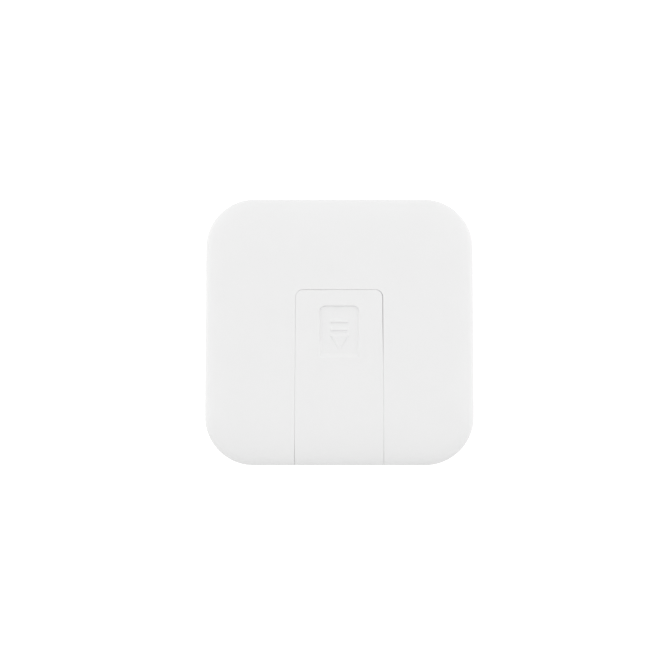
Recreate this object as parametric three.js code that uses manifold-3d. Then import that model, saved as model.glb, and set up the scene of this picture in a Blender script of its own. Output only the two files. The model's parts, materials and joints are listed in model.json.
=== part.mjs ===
// Indoor access point for a ceiling or a wall: a rounded-square plastic unit that hooks onto a flat
// bracket, with a sliding cable door over its Ethernet port.
//
// Millimetres, +Z up. Every piece is made in a face frame: x to the right, y up the face, z out of the
// wall, with z = 0 on the bracket's back face. The last group turns that frame, so that the front of
// the unit looks along -Y and the bracket's back face lies on the plane y = 0.

import * as THREE from 'three';
import { mergeVertices } from 'three/addons/utils/BufferGeometryUtils.js';
import Module from 'manifold-3d';

const wasm = await Module();
wasm.setup();

// Driving dimensions -------------------------------------------------------------------------------

const SIDE = 120; // width and height of the unit
const HALF = SIDE / 2;
const DEPTH = 30; // wall to the front face, bracket included
const CORNER = 22; // corner radius of the outline
const WALL = 2; // moulded wall thickness
const GAP = 0.3; // clearance between neighbours
const PARTING = 12.3; // height of the joint between the two housings
const DRAFT = 0.8; // how much the side wall draws in towards the parting line
const OVERLAP = 1; // how far joined bodies reach into each other, and tools past what they cut

const PILLOW = { drop: 9, reach: 36, power: 3.2 }; // the front's fall towards its edges
const PILLOW_STEPS = [0, 0.15, 0.5, 1.2, 2.4, 4.2, 7, 11, 16, 22, 29, 36]; // distances in from the edge
const ARC_STEPS = 12;

const PLATE = { half: 44, corner: 14, thick: 3.2 }; // the bracket
const HOOKS = { x: 32, ys: [27, -27], width: 6, stem: 2.4, reach: 5.5, thick: 1.6, floorGap: 0.4 };
const LIFT = 9; // travel that frees the unit from the hooks
const KEYHOLES = { x: 30, y: 8, head: 4.5, shank: 2.2, slot: 8, pocket: 5.8, seat: 1.4 };
const CABLE_HOLE = { y: -33, width: 24, height: 18, corner: 3 };

const FLOOR = { z: 3.6, thick: 2, half: 51, corner: 16, chamfer: 1.2 }; // the rear housing's floor
const FLOOR_TOP = FLOOR.z + FLOOR.thick;
const FLARE = { inset: 1.2, top: PARTING - GAP }; // the rear housing's rim, under the front shell's
const LIP = { half: HALF - WALL - DRAFT - 0.35, wall: 1.4, top: PARTING + 2.5 }; // stands inside that shell
const HOOK_SLOTS = { side: 0.5, above: 0.4, below: 0.6 }; // room round a hook and its travel
const VENTS = { eachWay: 7, pitch: 4, width: 1.8, low: 7, high: 10.2 };

const CASE_SCREWS = 43; // the case screws stand at plus and minus this in x and y
const BOSS = { radius: 3.8, top: PARTING - 1.2, hole: 1.6, well: 3.2, seat: FLOOR.z + 1.6 };
const UPPER_BOSS = { radius: 3.3, bottom: PARTING - 0.6, hole: 1.6, holeTop: 22 };
const POST = { radius: 3, hole: 1.5, holeBottom: FLOOR_TOP + 0.3 }; // the board stands on four of these

const DOOR = { top: 17.55, halfTop: 19.25, halfFoot: 19.6, corner: 3.3, gap: 0.35, shift: -0.1 };
const PAD = { bottom: -12.9, top: 10.5, half: 8.9, corner: 2.6, deep: 0.8, ramp: 2.1, back: 1.2, rim: 1.6 };
const PAD_FLOOR = DEPTH - PAD.deep;
const BARS = { half: 3.8, tall: 2.2, crest: 0.35, bottoms: [2.65, -1] }; // ridges that face down
const ARROW = { half: 3.9, crest: -3.2, above: 1.4, tip: -9.8 };
const RAISED = 0.55; // height of the bars and the arrow over the pad
const RUNNER = { inner: 16.3, outer: 17.6, foot: 19.5, low: 22.3, thick: 1.4, bottom: -38, top: 13.3 };
const TONGUE = { half: 7, bottom: 12.3, top: 22.8, z: 25.9, thick: 1.5 };

const BAY = { half: 20.9, wall: 1.4, bottom: -56.2, middle: -9.5, top: 25, floor: 12.4 };
const BAY_DEEP = FLOOR_TOP + 0.4; // the bay's walls below the board reach down to here
const RAILS = { reach: 2.7, thick: 1, zs: [20.8, 24.2], bottom: -52, top: 15.3 };

const BOARD = { z: 8.8, thick: 1.6, half: 46, bottom: -8, shoulder: 38, halfTop: 36, top: 52 };
const BOARD_TOP = BOARD.z + BOARD.thick;
const PARTS_Z = BOARD_TOP + GAP; // where the parts on the board start
const BOARD_SCREWS = [[-42, -4], [42, -4], [-31, 48], [31, 48]];
const BOARD_HOLE = 1.6;

const JACK = { half: 8, front: -11.4, back: 9.6, tall: 13.4, sheet: 0.5, room: 0.6 };
const SOCKET = { half: 5.95, floor: 1.7, tall: 7, deep: 14, latchHalf: 3.2, latchTall: 2.8, latchDeep: 8 };
const CONTACTS = { count: 8, pitch: 1.02, width: 0.45, thick: 0.35 };
const SPRING = { start: 1.6, bend: 3, end: 11, rise: 1.3 }; // a contact's side outline, from the mouth
const PROCESSOR = { x: -1, y: 39, side: 14, tall: 1.2 };
const CAN = { width: 32, height: 20, tall: 3.2, sheet: 0.4 };
const ANTENNA = { x: 42, y: 23, width: 5, length: 26, sheet: 0.6, top: 17, feed: 7, feedWidth: 1.6 };

const RESET = { x: 13.5, y: 2, radius: 1.8, z: 12.6, tall: 3.4 };
const LAMP = { x: -13.5, y: 2, radius: 1.5, z: 11.9, tall: 2.7 };
const LABEL = { y: 18, width: 27, height: 8.5, corner: 0.8, thick: 0.2 };

const CASE_SCREW = { head: 2.7, headTall: 1.4, shank: 1.3, length: 15.5 };
const BOARD_SCREW = { head: 2.5, headTall: 1.3, shank: 1.2, length: 4.4 };

// Materials ----------------------------------------------------------------------------------------

const material = (color, roughness, metalness = 0) =>
  new THREE.MeshStandardMaterial({ color, roughness, metalness });

const whiteShell = () => material(0xf0efee, 0.42);
const whiteInner = () => material(0xe6e6e4, 0.55);
const steel = () => material(0xb9bbbd, 0.35, 1);
const tinned = () => material(0xc6c8c8, 0.4, 1);
const blackPlastic = () => material(0x1b1c1e, 0.5);

// Solids -------------------------------------------------------------------------------------------

// A closed geometry as a solid that can be joined and cut.
function solid(geometry) {
  const bare = geometry.clone();
  bare.deleteAttribute('normal');
  bare.deleteAttribute('uv');
  const merged = mergeVertices(bare, 1e-4);
  const vertProperties = new Float32Array(merged.attributes.position.array);
  const triVerts = new Uint32Array(merged.index.array);
  return new wasm.Manifold(new wasm.Mesh({ numProp: 3, vertProperties, triVerts }));
}

function join(...solids) {
  return solids.reduce((sum, next) => sum.add(next));
}

function cut(body, ...tools) {
  return tools.reduce((rest, tool) => rest.subtract(tool), body);
}

function box(x0, x1, y0, y1, z0, z1) {
  const geometry = new THREE.BoxGeometry(x1 - x0, y1 - y0, z1 - z0);
  return solid(geometry.translate((x0 + x1) / 2, (y0 + y1) / 2, (z0 + z1) / 2));
}

// A box given by its centre on the face and its size, standing on z.
function block(x, y, width, height, z, thick) {
  return box(x - width / 2, x + width / 2, y - height / 2, y + height / 2, z, z + thick);
}

function rod(x, y, radius, z0, z1, sides = 20) {
  const geometry = new THREE.CylinderGeometry(radius, radius, z1 - z0, sides);
  return solid(geometry.rotateX(Math.PI / 2).translate(x, y, (z0 + z1) / 2));
}

function prism(shape, z0, z1, curveSegments = 6) {
  const geometry = new THREE.ExtrudeGeometry(shape, { depth: z1 - z0, bevelEnabled: false, curveSegments });
  return solid(geometry.translate(0, 0, z0));
}

function roundedRect(x, y, width, height, radius) {
  const [right, top] = [width / 2 - radius, height / 2 - radius];
  const shape = new THREE.Shape();
  shape.absarc(x + right, y + top, radius, 0, Math.PI / 2);
  shape.absarc(x - right, y + top, radius, Math.PI / 2, Math.PI);
  shape.absarc(x - right, y - top, radius, Math.PI, Math.PI * 1.5);
  shape.absarc(x + right, y - top, radius, Math.PI * 1.5, Math.PI * 2);
  return shape;
}

// An upright round-ended outline: its lower arc is centred on (x, y) and its upper arc stands above.
function stadium(x, y, rise, radius) {
  const shape = new THREE.Shape();
  shape.absarc(x, y + rise, radius, 0, Math.PI);
  shape.absarc(x, y, radius, Math.PI, Math.PI * 2);
  return shape;
}

function polygon(points) {
  return new THREE.Shape(points.map(([x, y]) => new THREE.Vector2(x, y)));
}

// The points of a rounded square at one height, anticlockwise.
function ring({ half, corner, z }) {
  const points = [];
  for (let quarter = 0; quarter < 4; quarter += 1) {
    const start = (quarter * Math.PI) / 2;
    const middle = start + Math.PI / 4;
    const reach = (half - corner) * Math.SQRT2;
    for (let step = 0; step <= ARC_STEPS; step += 1) {
      const angle = start + (step / ARC_STEPS) * (Math.PI / 2);
      points.push([
        reach * Math.cos(middle) + corner * Math.cos(angle),
        reach * Math.sin(middle) + corner * Math.sin(angle),
        z,
      ]);
    }
  }
  return points;
}

// A closed solid through rounded squares listed from the lowest to the highest.
function loft(rings) {
  const loops = rings.map(ring);
  const count = loops[0].length;
  const vertices = loops.flat();
  const lowCentre = vertices.push([0, 0, rings[0].z]) - 1;
  const highCentre = vertices.push([0, 0, rings[rings.length - 1].z]) - 1;
  const faces = [];
  for (let i = 0; i < count; i += 1) {
    const next = (i + 1) % count;
    for (let level = 0; level + 1 < loops.length; level += 1) {
      const [low, high] = [level * count, (level + 1) * count];
      faces.push([low + i, low + next, high + next], [low + i, high + next, high + i]);
    }
    const last = (loops.length - 1) * count;
    faces.push([lowCentre, next, i], [highCentre, last + i, last + next]);
  }
  const geometry = new THREE.BufferGeometry();
  geometry.setAttribute('position', new THREE.Float32BufferAttribute(vertices.flat(), 3));
  geometry.setIndex(faces.flat());
  return solid(geometry);
}

// The lower and upper ends of a stretch of x, mirrored to the left where side is -1.
function mirrored(side, near, far) {
  return [side * near, side * far].sort((a, b) => a - b);
}

// A box on one side of the middle, given by its distances from the middle.
function sideBox(side, near, far, y0, y1, z0, z1) {
  return box(...mirrored(side, near, far), y0, y1, z0, z1);
}

// A body with a side outline of [y, z] points, which reaches from x0 to x1.
function sidePrism(outline, x0, x1) {
  const geometry = new THREE.ExtrudeGeometry(polygon(outline), { depth: x1 - x0, bevelEnabled: false });
  // the outline was drawn as (y, z): turn it so that its x runs up the face and its y out of the wall
  const axes = new THREE.Matrix4().makeBasis(
    new THREE.Vector3(0, 1, 0), new THREE.Vector3(0, 0, 1), new THREE.Vector3(1, 0, 0),
  );
  return solid(geometry.applyMatrix4(axes).translate(x0, 0, 0));
}

// How far the front falls at a distance in from its edge.
function pillowFall(inset) {
  const across = Math.max(0, 1 - inset / PILLOW.reach);
  return PILLOW.drop * (1 - (1 - across ** PILLOW.power) ** (1 / PILLOW.power));
}

// The front half of the unit as a full body, with its surface moved in by an offset.
function dome(offset, bottom = PARTING) {
  const half = HALF - offset;
  const rings = [{ half: half - DRAFT, corner: CORNER - offset - DRAFT, z: bottom }];
  for (const inset of PILLOW_STEPS) {
    const share = 1 - inset / HALF;
    rings.push({
      half: half * share,
      corner: (CORNER - offset) * share,
      z: DEPTH - offset - pillowFall(inset),
    });
  }
  return loft(rings);
}

// The inner body starts lower than the outer one, so that the cut leaves the shell open.
function frontSkin() {
  return cut(dome(0), dome(WALL, PARTING - WALL * 2));
}

// Assembly -----------------------------------------------------------------------------------------

const unit = new THREE.Group();
unit.name = 'access_point';

function piece(name, body, look) {
  const result = body.getMesh();
  const geometry = new THREE.BufferGeometry();
  geometry.setAttribute('position', new THREE.BufferAttribute(result.vertProperties, 3));
  geometry.setIndex(new THREE.BufferAttribute(result.triVerts, 1));
  geometry.computeVertexNormals();
  const mesh = new THREE.Mesh(geometry, look);
  mesh.name = name;
  unit.add(mesh);
  return mesh;
}

// Mounting bracket: a flat plate with a cable hole, four hooks that point up, and two keyholes, each
// in a pocket that hides its screw's head.
function mountingBracket() {
  const outline = roundedRect(0, 0, PLATE.half * 2, PLATE.half * 2, PLATE.corner);
  const [back, front] = [-OVERLAP, PLATE.thick + OVERLAP];
  const { width, height, corner } = CABLE_HOLE;
  const hole = roundedRect(0, CABLE_HOLE.y, width + 2, height + 2, corner);
  let plate = cut(prism(outline, 0, PLATE.thick, 8), prism(hole, back, front));
  for (const x of [-KEYHOLES.x, KEYHOLES.x]) {
    const { y, head, shank, slot, pocket, seat } = KEYHOLES;
    plate = cut(
      plate,
      rod(x, y, head, back, front),
      rod(x, y + slot, shank, back, front),
      block(x, y + slot / 2, shank * 2, slot, back, front - back),
      prism(stadium(x, y, slot, pocket), seat, front, 10),
    );
  }
  const { width: wide, stem, reach, thick } = HOOKS;
  const root = PLATE.thick - OVERLAP;
  const tip = FLOOR_TOP + HOOKS.floorGap;
  for (const x of [-HOOKS.x, HOOKS.x]) {
    for (const y of HOOKS.ys) {
      const finger = block(x, y + (reach - stem) / 2, wide, reach, tip, thick);
      plate = join(plate, block(x, y, wide, stem, root, tip + thick - root), finger);
    }
  }
  piece('mounting_bracket', plate, whiteInner());
}

// The space inside the rear housing, drawn in by an offset.
function rearHollow(offset) {
  const inside = LIP.half - LIP.wall - offset;
  const corner = CORNER - WALL * 2;
  return loft([
    { half: FLOOR.half - 1.5 - offset, corner: FLOOR.corner - 1.5, z: FLOOR_TOP + offset },
    { half: inside, corner, z: PARTING - 1 },
    { half: inside, corner, z: LIP.top + OVERLAP },
  ]);
}

// Rear housing: a flared tray with vents, hook slots, a cable hole, screw bosses and board posts.
// Its lip stands inside the front shell's wall and leaves room for the door.
function rearHousing() {
  const rim = { half: HALF - FLARE.inset, corner: CORNER - FLARE.inset, z: FLARE.top };
  const lip = { half: LIP.half, corner: CORNER - (HALF - LIP.half) };
  const { half, corner, z, chamfer } = FLOOR;
  let body = join(
    loft([{ half, corner, z }, { half: half + chamfer, corner: corner + chamfer, z: z + OVERLAP }, rim]),
    loft([{ ...lip, z: PARTING - 2 }, { ...lip, z: LIP.top }]),
  );
  const doorway = box(-BAY.half - 2, BAY.half + 2, -HALF, -HALF + 10, FLARE.top, LIP.top + OVERLAP);
  body = cut(body, rearHollow(0), doorway);
  const base = FLOOR_TOP - OVERLAP;
  for (const [x, y] of corners(CASE_SCREWS)) body = join(body, rod(x, y, BOSS.radius, base, BOSS.top));
  for (const [x, y] of BOARD_SCREWS) body = join(body, rod(x, y, POST.radius, base, BOARD.z - GAP));
  const hole = roundedRect(0, CABLE_HOLE.y, CABLE_HOLE.width, CABLE_HOLE.height, CABLE_HOLE.corner);
  body = cut(body, prism(hole, 0, FLOOR_TOP + OVERLAP), ...hookSlots(), ...vents());
  for (const [x, y] of corners(CASE_SCREWS)) {
    body = cut(body, rod(x, y, BOSS.hole, 0, PARTING), rod(x, y, BOSS.well, 0, BOSS.seat));
  }
  for (const [x, y] of BOARD_SCREWS) body = cut(body, rod(x, y, POST.hole, POST.holeBottom, BOARD.z));
  piece('rear_housing', body, whiteShell());
}

function corners(reach) {
  return [[-reach, -reach], [reach, -reach], [reach, reach], [-reach, reach]];
}

// Each slot takes a hook's whole tip when the unit is lifted by its full travel.
function hookSlots() {
  const slots = [];
  for (const x of [-HOOKS.x, HOOKS.x]) {
    for (const y of HOOKS.ys) {
      const side = HOOKS.width / 2 + HOOK_SLOTS.side;
      const high = y + HOOKS.stem / 2 + HOOK_SLOTS.above;
      const low = y - HOOKS.stem / 2 - LIFT - HOOK_SLOTS.below;
      slots.push(box(x - side, x + side, low, high, FLOOR.z - OVERLAP, FLOOR_TOP + OVERLAP));
    }
  }
  return slots;
}

// Ventilation slots across the flared wall, along the top and both sides.
function vents() {
  const { eachWay, pitch, width, low, high } = VENTS;
  const [near, far] = [FLOOR.half - 4, HALF + OVERLAP];
  const slots = [];
  for (let step = -eachWay; step <= eachWay; step += 1) {
    const [start, end] = [step * pitch - width / 2, step * pitch + width / 2];
    slots.push(box(start, end, near, far, low, high));
    for (const side of [-1, 1]) slots.push(sideBox(side, near, far, start, end, low, high));
  }
  return slots;
}

// The cable door's outline on the face, grown by an offset: nearly parallel sides and a round top.
function doorOutline(offset) {
  const foot = -HALF - 2;
  const [halfTop, halfFoot] = [DOOR.halfTop + offset, DOOR.halfFoot + offset];
  const [corner, top] = [DOOR.corner + offset, DOOR.top + offset];
  const shape = new THREE.Shape();
  shape.moveTo(-halfFoot, foot);
  shape.lineTo(halfFoot, foot);
  shape.lineTo(halfTop, top - corner);
  shape.absarc(halfTop - corner, top - corner, corner, 0, Math.PI / 2);
  shape.absarc(-halfTop + corner, top - corner, corner, Math.PI / 2, Math.PI);
  return shape;
}

// The port bay: a shallow floor over the board with a deeper part below it, three walls, and the two
// rails on each side that hold the door.
function portBay() {
  const outer = BAY.half + BAY.wall;
  const [bottom, top] = [BAY.middle - BAY.wall, BAY.top + BAY.wall];
  let bay = join(
    box(-outer, outer, bottom, top, BAY.floor, BAY.floor + BAY.wall),
    box(-outer, outer, BAY.top, top, BAY.floor, DEPTH),
    box(-outer, outer, bottom, BAY.middle, BAY_DEEP, BAY.floor + OVERLAP),
  );
  for (const side of [-1, 1]) {
    bay = join(
      bay,
      sideBox(side, BAY.half, outer, bottom, top, BAY.floor, DEPTH),
      sideBox(side, BAY.half, outer, BAY.bottom, BAY.middle, BAY_DEEP, DEPTH),
    );
    for (const z of RAILS.zs) {
      const [near, far] = [BAY.half - RAILS.reach, BAY.half + BAY.wall / 2];
      bay = join(bay, sideBox(side, near, far, RAILS.bottom, RAILS.top, z, z + RAILS.thick));
    }
  }
  return bay;
}

// Front shell: the pillowed front with the door's cut-out, the port bay behind it, and the bosses
// for the case screws.
function frontShell() {
  const skin = cut(frontSkin(), prism(doorOutline(DOOR.gap), 0, DEPTH + OVERLAP));
  const clearOfLip = join(rearHollow(0.4), box(-HALF, HALF, -HALF, HALF, LIP.top + 0.4, DEPTH));
  const { radius, bottom, hole, holeTop } = UPPER_BOSS;
  const bosses = corners(CASE_SCREWS).map(([x, y]) => rod(x, y, radius, bottom, DEPTH));
  const inner = join(portBay(), ...bosses).intersect(dome(WALL / 2, 0)).intersect(clearOfLip);
  const jackHalf = JACK.half + JACK.room;
  const [low, high] = [BAY.floor - OVERLAP, BAY.floor + BAY.wall + OVERLAP];
  const shell = cut(
    join(skin, inner),
    box(-jackHalf, jackHalf, BAY.middle - 2, JACK.back + JACK.room, BAY_DEEP - OVERLAP, DEPTH - 4),
    rod(RESET.x, RESET.y, RESET.radius + 0.6, low, high),
    rod(LAMP.x, LAMP.y, LAMP.radius + 0.4, low, high),
    ...corners(CASE_SCREWS).map(([x, y]) => rod(x, y, hole, 0, holeTop)),
  );
  piece('front_shell', shell, whiteShell());
}

// The thumb pad's recess: flat, with round upper corners and a full-width ramp up to the face at its
// foot. The outline's lower corners lie below the ramp.
function padRecess() {
  const { bottom, top, half, corner, ramp } = PAD;
  const outline = roundedRect(0, (top + bottom - corner) / 2, half * 2, top - bottom + corner, corner);
  const side = [
    [bottom, DEPTH], [bottom + ramp, PAD_FLOOR], [top, PAD_FLOOR], [top, DEPTH + OVERLAP],
    [bottom, DEPTH + OVERLAP],
  ];
  return prism(outline, PAD_FLOOR - OVERLAP, DEPTH + OVERLAP).intersect(sidePrism(side, -half, half));
}

// A ridge across the pad: it rises from its lower end to the crest and falls to its upper end.
function ridge(half, low, crest, high) {
  const root = PAD_FLOOR - OVERLAP;
  const side = [[low, root], [low, PAD_FLOOR], [crest, PAD_FLOOR + RAISED], [high, PAD_FLOOR], [high, root]];
  return sidePrism(side, -half, half);
}

// The pad's arrow: a ridge cut to a triangle that points down.
function padArrow() {
  const { half, crest, above, tip } = ARROW;
  const top = crest + above;
  const outline = polygon([[-half, top], [-half, crest], [0, tip], [half, crest], [half, top]]);
  return ridge(half, tip, crest, top).intersect(prism(outline, PAD_FLOOR - OVERLAP, DEPTH));
}

// Cable door: a piece of the front's skin that wraps round the foot, with a thumb pad, two runners
// whose feet slide between the rails, and a tongue that tucks under the shell's edge. It sits a
// little to the left in its opening, as its clearance allows.
function cableDoor() {
  const skin = frontSkin().intersect(prism(doorOutline(0), 0, DEPTH + OVERLAP));
  const back = DEPTH - WALL - PAD.back;
  const padHalf = PAD.half + PAD.rim;
  let ribs = box(-padHalf, padHalf, PAD.bottom - PAD.rim, PAD.top + PAD.rim, back, DEPTH);
  for (const side of [-1, 1]) {
    const { inner, outer, foot, bottom, top, low, thick } = RUNNER;
    ribs = join(
      ribs,
      sideBox(side, inner, outer, bottom, top, low, DEPTH),
      sideBox(side, inner, foot, bottom, top, low, low + thick),
    );
  }
  const { half, bottom, top, z, thick } = TONGUE;
  const root = box(-half, half, bottom, DOOR.top - OVERLAP, z, DEPTH);
  const tongue = box(-half, half, bottom, top, z, z + thick);
  const body = join(skin, join(ribs, root).intersect(dome(WALL / 2, 0)), tongue);
  const bars = BARS.bottoms.map((y) => ridge(BARS.half, y, y + BARS.crest, y + BARS.tall));
  const door = piece('cable_door', join(cut(body, padRecess()), ...bars, padArrow()), whiteShell());
  door.position.x = DOOR.shift;
}

function mainBoard() {
  const { half, bottom, shoulder, halfTop, top } = BOARD;
  const right = [[half, bottom], [half, shoulder], [halfTop, shoulder], [halfTop, top]];
  const left = right.map(([x, y]) => [-x, y]).reverse();
  const holes = BOARD_SCREWS.map(([x, y]) => rod(x, y, BOARD_HOLE, 0, DEPTH));
  const board = cut(prism(polygon([...right, ...left]), BOARD.z, BOARD_TOP), ...holes);
  piece('main_pcb', board, material(0x1f5a3a, 0.5));
}

// Ethernet jack: a sheet-metal shield over a plastic insert with eight spring contacts. Its mouth
// looks down into the port bay.
function ethernetJack() {
  const { half, front, back, tall, sheet } = JACK;
  const [low, high] = [PARTS_Z, PARTS_Z + tall];
  const inner = half - sheet;
  const shield = cut(
    box(-half, half, front, back, low, high),
    box(-inner, inner, front - OVERLAP, back - sheet, low - OVERLAP, high - sheet),
  );
  piece('ethernet_jack_shield', shield, steel());

  const mouth = front + 0.2;
  const floor = low + SOCKET.floor;
  const roof = floor + SOCKET.tall;
  const { latchHalf, latchTall, latchDeep } = SOCKET;
  const insert = cut(
    box(-inner + GAP, inner - GAP, mouth, back - sheet - GAP, low + GAP, high - sheet - GAP),
    box(-SOCKET.half, SOCKET.half, mouth - OVERLAP, mouth + SOCKET.deep, floor, roof),
    box(-latchHalf, latchHalf, mouth - OVERLAP, mouth + latchDeep, roof - OVERLAP, roof + latchTall),
  );
  piece('ethernet_jack_insert', insert, blackPlastic());

  for (let index = 0; index < CONTACTS.count; index += 1) {
    const contact = piece(`ethernet_contact_${index + 1}`, contactSpring(), material(0xd6b25c, 0.3, 1));
    contact.position.set((index - (CONTACTS.count - 1) / 2) * CONTACTS.pitch, mouth, floor + GAP);
  }
}

// A contact spring rises from the socket's floor near the mouth towards its back.
function contactSpring() {
  const { width, thick } = CONTACTS;
  const { start, bend, end, rise } = SPRING;
  const side = [
    [start, 0], [bend, 0], [end, rise], [end, rise + thick], [bend - 0.1, thick], [start, thick],
  ];
  return sidePrism(side, -width / 2, width / 2);
}

// Chips and other block-shaped parts on the board: name, x, y, width, height, thickness, material.
function boardParts() {
  const chip = () => material(0x202124, 0.6);
  const sleeve = () => material(0x2c3440, 0.4);
  const parts = [
    ['magnetics_module', -31, 4, 12.5, 10, 5.8, chip()],
    ['power_controller', 27.5, 1, 7, 7, 1.2, chip()],
    ['power_inductor', 30, 15, 10, 10, 4.5, material(0x3a3b3d, 0.7)],
    ['processor', PROCESSOR.x, PROCESSOR.y, PROCESSOR.side, PROCESSOR.side, PROCESSOR.tall, chip()],
    ['memory_chip', 24, 42, 8, 12, 1.1, chip()],
    ['flash_chip', 24, 29, 6, 5, 1.6, chip()],
    ['crystal', -23, 33, 5, 3.2, 1.3, steel()],
    ['reset_switch', RESET.x, RESET.y, 4.6, 4.6, 1.2, blackPlastic()],
    ['status_led', LAMP.x, LAMP.y, 2, 1.3, 0.8, material(0xf4f1d8, 0.3)],
  ];
  for (const [name, x, y, width, height, tall, look] of parts) {
    piece(name, block(x, y, width, height, PARTS_Z, tall), look);
  }
  const capacitors = [['capacitor_1', 35.5, 3.5, 3.9, 11], ['capacitor_2', -33, 16, 3.1, 7.7]];
  for (const [name, x, y, radius, tall] of capacitors) {
    piece(name, rod(x, y, radius, PARTS_Z, PARTS_Z + tall), sleeve());
  }
}

// A sheet-metal can over the processor, with a soft pad between them that carries the heat.
function processorCan() {
  const { x, y, side, tall } = PROCESSOR;
  const { width, height, sheet } = CAN;
  const [padSide, padZ] = [side - 1, PARTS_Z + tall + GAP];
  piece('thermal_pad', block(x, y, padSide, padSide, padZ, 1), material(0x9aa3ad, 0.9));
  const outside = block(x, y, width, height, PARTS_Z, CAN.tall);
  const [innerWidth, innerHeight] = [width - sheet * 2, height - sheet * 2];
  const inside = block(x, y, innerWidth, innerHeight, PARTS_Z - OVERLAP, CAN.tall - sheet + OVERLAP);
  piece('rf_shield_can', cut(outside, inside), tinned());
}

// Two stamped antennas stand on the board's sides, each a raised strip on two legs.
function antennas() {
  const { x, y, width, length, sheet, top, feed, feedWidth } = ANTENNA;
  for (const [name, side] of [['antenna_left', -1], ['antenna_right', 1]]) {
    const strip = block(0, 0, width, length, top, sheet);
    const leg = (along, wide) => block(0, along, wide, sheet, PARTS_Z, top - PARTS_Z + sheet / 2);
    const legs = [leg(feed, feedWidth), leg((length - sheet) / 2, width)];
    const antenna = piece(name, join(strip, ...legs), tinned());
    antenna.position.set(side * x, y, 0);
  }
}

// Reset button: a plunger that stands through the bay's floor beside the jack.
function resetButton() {
  const { x, y, radius, z, tall } = RESET;
  piece('reset_button', rod(x, y, radius, z, z + tall), blackPlastic());
}

// Light pipe: carries the status light through the bay's floor to a domed end.
function lightPipe() {
  const { x, y, radius, z, tall } = LAMP;
  const profile = [[0, 0], [radius, 0], [radius, tall], [radius * 0.7, tall + 0.5], [0, tall + 0.7]];
  const geometry = new THREE.LatheGeometry(profile.map(([r, h]) => new THREE.Vector2(r, h)), 20);
  const pipe = piece('led_light_pipe', solid(geometry.rotateX(Math.PI / 2)), material(0xf2f4f4, 0.15));
  pipe.position.set(x, y, z);
}

// A pan-head screw with a cross recess. The head's flat side lies at z = 0 and its shank runs up.
function screw({ head, headTall, shank, length }) {
  const profile = [
    [0, -headTall], [head * 0.7, -headTall], [head, -headTall * 0.45], [head, 0],
    [shank, 0], [shank, length - shank * 0.6], [shank * 0.4, length], [0, length],
  ];
  const points = profile.map(([radius, height]) => new THREE.Vector2(radius, height));
  const geometry = new THREE.LatheGeometry(points, 16).rotateX(Math.PI / 2);
  const [long, thin, deep] = [head * 1.1, head * 0.22, headTall * 0.6];
  const start = -headTall - OVERLAP;
  const slots = [[long, thin], [thin, long]].map(([w, h]) => block(0, 0, w, h, start, deep + OVERLAP));
  return cut(solid(geometry), ...slots);
}

// The case screws point out of the wall, and the board's screws point towards it.
function screws() {
  corners(CASE_SCREWS).forEach(([x, y], index) => {
    const mesh = piece(`case_screw_${index + 1}`, screw(CASE_SCREW), steel());
    mesh.position.set(x, y, BOSS.seat - GAP);
  });
  BOARD_SCREWS.forEach(([x, y], index) => {
    const mesh = piece(`pcb_screw_${index + 1}`, screw(BOARD_SCREW), steel());
    mesh.rotation.x = Math.PI;
    mesh.position.set(x, y, BOARD_TOP + GAP);
  });
}

// A blank label lies on the bay's floor above the jack.
function bayLabel() {
  const { y, width, height, corner, thick } = LABEL;
  const z = BAY.floor + BAY.wall + GAP / 2;
  const label = prism(roundedRect(0, y, width, height, corner), z, z + thick);
  piece('bay_label', label, material(0xd8dadb, 0.6));
}

mountingBracket();
rearHousing();
frontShell();
cableDoor();
mainBoard();
ethernetJack();
boardParts();
processorCan();
antennas();
resetButton();
lightPipe();
screws();
bayLabel();

const accessPoint = new THREE.Group();
accessPoint.add(unit);
unit.rotation.x = Math.PI / 2;

export default accessPoint;
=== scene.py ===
"""Looks of a ceiling access point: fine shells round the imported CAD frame, materials, lights and camera.

Shapes are worked out in the face frame, in millimetres: x to the right, y up the face, z out of the
wall. on_wall() turns them into the row frame, in metres, where the front looks along -Y and +Z is up.
"""
import json
import math

import bmesh
import bpy
import numpy as np
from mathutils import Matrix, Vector
from mathutils.geometry import delaunay_2d_cdt


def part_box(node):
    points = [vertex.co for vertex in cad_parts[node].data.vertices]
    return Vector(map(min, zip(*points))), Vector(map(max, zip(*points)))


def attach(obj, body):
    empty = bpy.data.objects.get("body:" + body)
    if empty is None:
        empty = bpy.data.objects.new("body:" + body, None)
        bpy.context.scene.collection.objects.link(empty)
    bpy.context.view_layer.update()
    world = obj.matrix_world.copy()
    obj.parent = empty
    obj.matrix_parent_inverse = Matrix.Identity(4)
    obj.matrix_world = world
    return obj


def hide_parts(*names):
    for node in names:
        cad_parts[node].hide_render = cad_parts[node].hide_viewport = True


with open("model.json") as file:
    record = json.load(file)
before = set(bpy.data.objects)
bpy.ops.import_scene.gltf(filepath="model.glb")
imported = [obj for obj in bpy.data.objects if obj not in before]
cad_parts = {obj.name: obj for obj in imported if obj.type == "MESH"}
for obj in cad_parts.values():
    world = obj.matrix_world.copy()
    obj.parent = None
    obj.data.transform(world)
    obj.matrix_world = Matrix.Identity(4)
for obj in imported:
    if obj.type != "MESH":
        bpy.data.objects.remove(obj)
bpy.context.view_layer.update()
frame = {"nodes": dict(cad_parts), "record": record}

MM = 0.001

# Driving dimensions, in millimetres ---------------------------------------------------------------

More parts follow.
